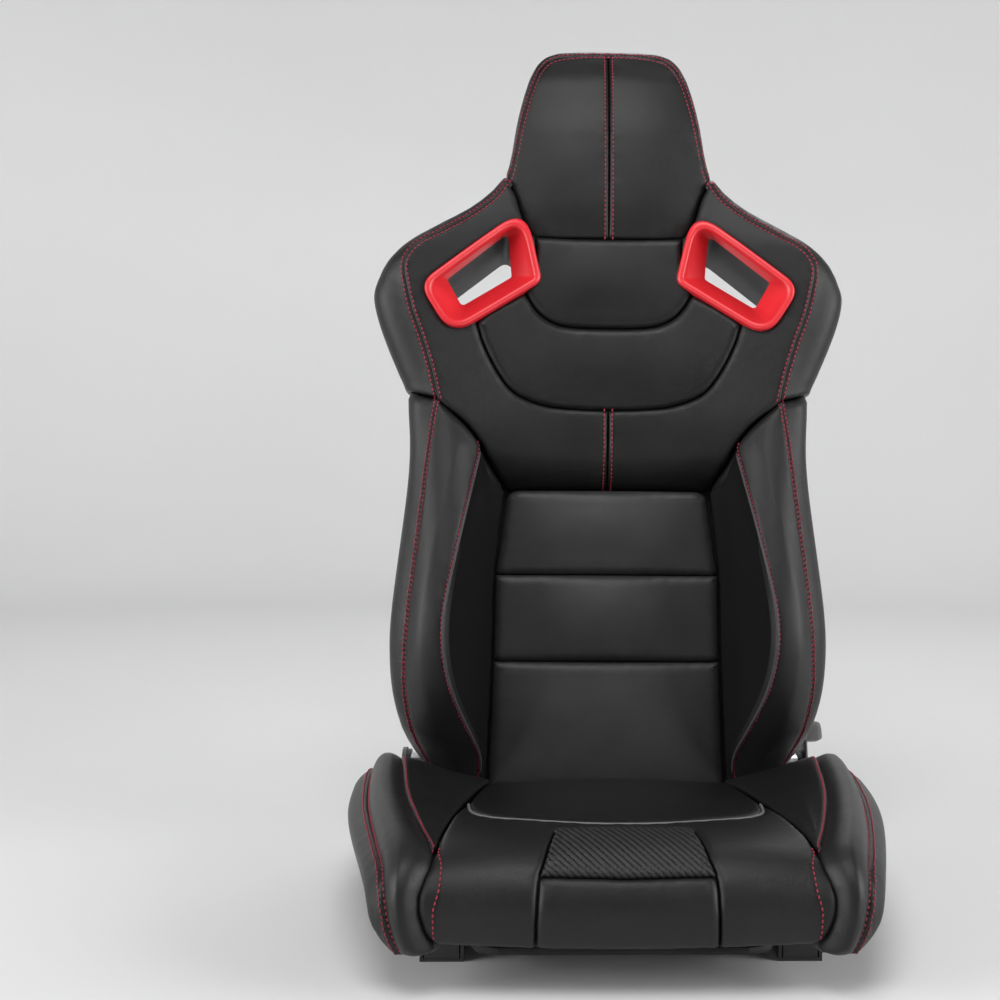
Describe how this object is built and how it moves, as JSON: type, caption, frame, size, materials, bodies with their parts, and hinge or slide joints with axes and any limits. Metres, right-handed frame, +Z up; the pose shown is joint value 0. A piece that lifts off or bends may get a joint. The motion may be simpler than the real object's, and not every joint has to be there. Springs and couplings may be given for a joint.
{
  "type": "reclining sport seat",
  "caption": "Black leatherette reclining racing seat with red stitching, red harness bezels, raised bolsters, slide rails and a sprung recline lever.",
  "frame": {"origin": "on the floor under the middle of the seat's bounding box", "axes": "+Z up, -Y the way the sitter faces, +X the viewer's right from the front"},
  "size_m": [0.536, 0.6706, 0.9109],
  "materials": {
    "leatherette": "grained coated fabric over foam",
    "red_trim": "satin red",
    "black_steel": "satin black",
    "bare_steel": "zinc plated",
    "grey_cover": "grained",
    "black_plastic": "grained"
  },
  "bodies": {
    "base": {"lower_rail_l": "black_steel", "lower_rail_r": "black_steel"},
    "seat": {"upper_rail_l": "black_steel", "upper_rail_r": "black_steel", "front_crossmember": "black_steel", "rear_crossmember": "black_steel", "seat_pan": "black_steel", "bar_bracket_l": "black_steel", "bar_bracket_r": "black_steel", "cushion_centre": "leatherette", "cushion_bolster_l": "leatherette", "cushion_bolster_r": "leatherette", "recliner_plate_l": "black_steel", "recliner_plate_r": "black_steel", "hinge_cover_l": "grey_cover", "hinge_cover_r": "grey_cover"},
    "release_bar": {"towel_bar": "black_steel"},
    "lever": {"recliner_shaft": "bare_steel", "recline_lever": "black_steel", "lever_grip": "black_plastic", "shaft_nut_l": "bare_steel", "shaft_nut_r": "bare_steel"},
    "backrest": {"back_arm_l": "black_steel", "back_arm_r": "black_steel", "recliner_disc_l": "bare_steel", "recliner_disc_r": "bare_steel", "back_frame": "black_steel", "crossbar_lower": "black_steel", "crossbar_upper": "black_steel", "back_shell": "black_plastic", "headrest_pad": "leatherette", "neck_pad": "leatherette", "chest_pad": "leatherette", "shoulder_wing_l": "leatherette", "shoulder_wing_r": "leatherette", "upper_back_l": "leatherette", "upper_back_r": "leatherette", "lumbar_pad": "leatherette", "back_bolster_l": "leatherette", "back_bolster_r": "leatherette", "harness_bezel_l": "red_trim", "harness_bezel_r": "red_trim", "rear_trim_l": "red_trim", "rear_trim_r": "red_trim"}
  },
  "joints": [
    {"name": "seat_slide", "type": "slide", "parent": "base", "child": "seat", "axis": [0, -1, 0], "range_m": [-0.09, 0.09]},
    {"name": "slide_release", "type": "hinge", "parent": "seat", "child": "release_bar", "pos_m": [0, -0.1553, 0.031], "axis": [-1, 0, 0], "range_deg": [0, 6], "stiffness_Nm_per_rad": 4, "springref_deg": -5.73},
    {"name": "recline", "type": "hinge", "parent": "seat", "child": "backrest", "pos_m": [0, 0.1697, 0.07], "axis": [-1, 0, 0], "range_deg": [-6, 58]},
    {"name": "recline_lever", "type": "hinge", "parent": "seat", "child": "lever", "pos_m": [0, 0.1697, 0.07], "axis": [-1, 0, 0], "range_deg": [0, 25], "stiffness_Nm_per_rad": 2, "springref_deg": -8.59}
  ]
}
